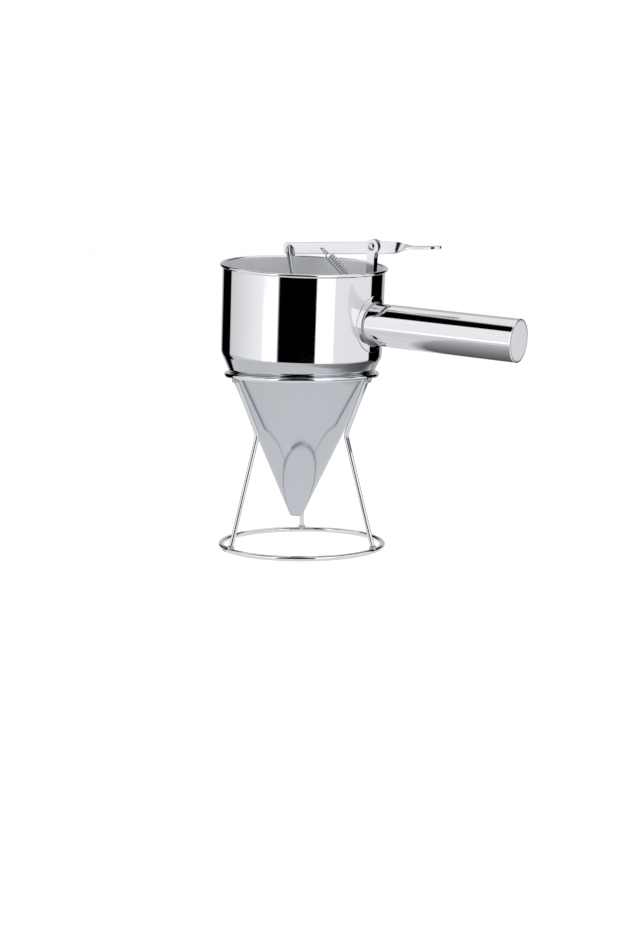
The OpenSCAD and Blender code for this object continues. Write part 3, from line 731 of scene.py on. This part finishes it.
def spread(tree, value, low, high):
    """A value brought to 0..1 between two ends."""
    node = tree.nodes.new("ShaderNodeMapRange")
    node.inputs["From Min"].default_value, node.inputs["From Max"].default_value = low, high
    tree.links.new(value, node.inputs["Value"])
    return node.outputs["Result"]


def toned(tree, value, stops):
    """The brightness that a value from 0 to 1 has between its stops, a trace cooler than neutral."""
    node = tree.nodes.new("ShaderNodeValToRGB")
    band = node.color_ramp
    band.interpolation = "LINEAR"
    while len(band.elements) < len(stops):
        band.elements.new(0.5)
    for element, (position, tone) in zip(band.elements, stops):
        element.position = position
        element.color = (tone, tone, tone * 1.02, 1)
    tree.links.new(value, node.inputs["Fac"])
    return node.outputs["Color"]


def mixed(tree, factor, low, high):
    """A mix of two tones, each a colour or another node's output."""
    node = tree.nodes.new("ShaderNodeMix")
    node.data_type = "RGBA"
    tree.links.new(factor, node.inputs["Factor"])
    for label, value in (("A", low), ("B", high)):
        if isinstance(value, tuple):
            node.inputs[label].default_value = value
        else:
            tree.links.new(value, node.inputs[label])
    return node.outputs["Result"]


def bare_material(name):
    """A material with nothing in it but its output."""
    material = bpy.data.materials.new(name)
    material.use_nodes = True
    tree = material.node_tree
    tree.nodes.clear()
    return material, tree, tree.nodes.new("ShaderNodeOutputMaterial")


def stage_sheet(name, corners, material):
    """A flat sheet of the studio, with its corners in metres."""
    mesh = bpy.data.meshes.new(name)
    mesh.from_pydata(corners, [], [tuple(range(len(corners)))])
    mesh.materials.append(material)
    sheet = new_object(name, mesh)
    return sheet


def only_mirrored(sheet):
    for ray in ("camera", "diffuse", "transmission", "volume_scatter", "shadow"):
        setattr(sheet, "visible_" + ray, False)


def floor():
    """The pale floor that the eye sees, and the steel doesn't."""
    material, tree, out = bare_material("pale floor")
    diffuse, glow = new_nodes(tree, "ShaderNodeBsdfDiffuse", "ShaderNodeEmission")
    total = tree.nodes.new("ShaderNodeAddShader")
    diffuse.inputs["Color"].default_value = (FLOOR_TONE, FLOOR_TONE, FLOOR_TONE, 1)
    glow.inputs["Color"].default_value = (1, 1, 1, 1)
    glow.inputs["Strength"].default_value = FLOOR_GLOW
    tree.links.new(diffuse.outputs["BSDF"], total.inputs[0])
    tree.links.new(glow.outputs["Emission"], total.inputs[1])
    tree.links.new(total.outputs["Shader"], out.inputs["Surface"])
    size = FLOOR_SIZE
    corners = [(-size, -size, 0), (size, -size, 0), (size, size, 0), (-size, size, 0)]
    plane = stage_sheet("floor", corners, material)
    plane.visible_glossy = False


def mirrored_table():
    """A round table that only the steel sees."""
    material, tree, out = bare_material("mirrored table")
    place, glow, away = new_nodes(tree, "ShaderNodeTexCoord", "ShaderNodeEmission", "ShaderNodeVectorMath")
    away.operation = "LENGTH"
    tree.links.new(place.outputs["Object"], away.inputs[0])
    reach, count = TABLE[-1][0], 96
    share = spread(tree, away.outputs["Value"], 0, reach * MM)
    tree.links.new(toned(tree, share, [(d / reach, tone) for d, tone in TABLE]), glow.inputs["Color"])
    tree.links.new(glow.outputs["Emission"], out.inputs["Surface"])
    ring = []
    for i in range(count):
        around = 360 * i / count - 180
        a = math.radians(CAMERA_SIDE + around)
        r = (reach if TABLE_FRONT[0] < around < TABLE_FRONT[1] else TABLE_BEHIND) * MM
        ring.append((r * math.cos(a), r * math.sin(a), -TABLE_SUNK * MM))
    only_mirrored(stage_sheet("mirrored table", ring, material))


def painted_shade_card():
    """A sheet under the handle, which only the steel sees, painted with the shade that the handle and funnel
    cast on the table, so the handle's underside shows a painted shadow reflection. It fades into the table's
    tone towards the bowl.
    """
    material, tree, out = bare_material("painted shade card")
    place, glow, split = new_nodes(tree, "ShaderNodeTexCoord", "ShaderNodeEmission", "ShaderNodeSeparateXYZ")
    tree.links.new(place.outputs["Object"], split.inputs["Vector"])
    (left, right), (low, high), plain = SHADE_CARD_X, SHADE_CARD_Y, TABLE[1][1]
    share = spread(tree, split.outputs["Y"], low * MM, high * MM)
    # Painted shade: the handle's reflected shadow, light at the front and nearly black behind
    across = toned(tree, share, [((y - low) / (high - low), tone) for y, tone in SHADE_CARD_TONES])
    along = spread(tree, split.outputs["X"], left * MM, (left + SHADE_CARD_FADE) * MM)
    tree.links.new(mixed(tree, along, (plain, plain, plain, 1), across), glow.inputs["Color"])
    tree.links.new(glow.outputs["Emission"], out.inputs["Surface"])
    outline = ((left, low), (right, low), (right, high), (left, high))
    corners = [(x * MM, y * MM, SHADE_CARD_Z * MM) for x, y in outline]
    only_mirrored(stage_sheet("painted shadow under the handle", corners, material))


def surroundings(tree):
    """The brightness of the room in each direction."""
    join = tree.links.new
    place, spin = new_nodes(tree, "ShaderNodeTexCoord", "ShaderNodeMapping")
    split, angle = new_nodes(tree, "ShaderNodeSeparateXYZ", "ShaderNodeMath")
    angle.operation = "ARCTAN2"
    spin.inputs["Rotation"].default_value = (0, 0, math.radians(-CAMERA_SIDE))
    join(place.outputs["Generated"], spin.inputs["Vector"])
    join(spin.outputs["Vector"], split.inputs["Vector"])
    join(split.outputs["Y"], angle.inputs[0])
    join(split.outputs["X"], angle.inputs[1])
    turned = spread(tree, angle.outputs["Value"], -math.pi, math.pi)
    height = spread(tree, split.outputs["Z"], -1, 1)

    def sideways(stops):
        return toned(tree, turned, [((degrees + 180) / 360, tone) for degrees, tone in stops])

    def upward(stops):
        levels = [((math.sin(math.radians(degrees)) + 1) / 2, tone) for degrees, tone in stops]
        return toned(tree, height, levels)

    def patched(under, tone, patch):
        return mixed(tree, upward(patch[1]), under, mixed(tree, sideways(patch[0]), under, tone))

    walls = patched(sideways(BANDS), GREY, WALL)
    ceiling = patched(patched(CEILING, BLACK, BOARD), BLACK, FRONT)
    return mixed(tree, upward(GROUND_FROM), GROUND, mixed(tree, upward(CEILING_FROM), walls, ceiling))


def sky():
    """The world is white to the eye, even as a light, and the room with its boards to the steel."""
    world = bpy.data.worlds.new("studio")
    bpy.context.scene.world = world
    world.use_nodes = True
    tree = world.node_tree
    tree.nodes.clear()
    join = tree.links.new
    light, out = new_nodes(tree, "ShaderNodeLightPath", "ShaderNodeOutputWorld")
    mirror, plain, white = new_nodes(tree, *["ShaderNodeBackground"] * 3)
    pick, last = new_nodes(tree, *["ShaderNodeMixShader"] * 2)
    plain.inputs["Color"].default_value = (1, 1, 1, 1)
    plain.inputs["Strength"].default_value = ROOM_LIGHT
    white.inputs["Color"].default_value = (1, 1, 1, 1)
    join(surroundings(tree), mirror.inputs["Color"])
    join(light.outputs["Is Glossy Ray"], pick.inputs["Fac"])
    join(plain.outputs["Background"], pick.inputs[1])
    join(mirror.outputs["Background"], pick.inputs[2])
    join(light.outputs["Is Camera Ray"], last.inputs["Fac"])
    join(pick.outputs["Shader"], last.inputs[1])
    join(white.outputs["Background"], last.inputs[2])
    join(last.outputs["Shader"], out.inputs["Surface"])


def lamp(name, place, size, power):
    data = bpy.data.lights.new(name, "AREA")
    data.size, data.energy = size, power
    obj = new_object(name, data)
    obj.location = place
    obj.rotation_euler = (Vector((0, 0, 0.1)) - Vector(place)).to_track_quat("-Z", "Y").to_euler()
    obj.visible_glossy = False
    obj.visible_camera = False


floor()
mirrored_table()
painted_shade_card()
sky()
lamp("key", (-0.7, -1.0, 1.5), 1.2, 14)
lamp("fill", (1.1, -0.5, 1.2), 1.2, 8)

bpy.context.scene.view_settings.view_transform = "Standard"
bpy.context.scene.cycles.glossy_bounces = 16
bpy.context.scene.cycles.max_bounces = 20
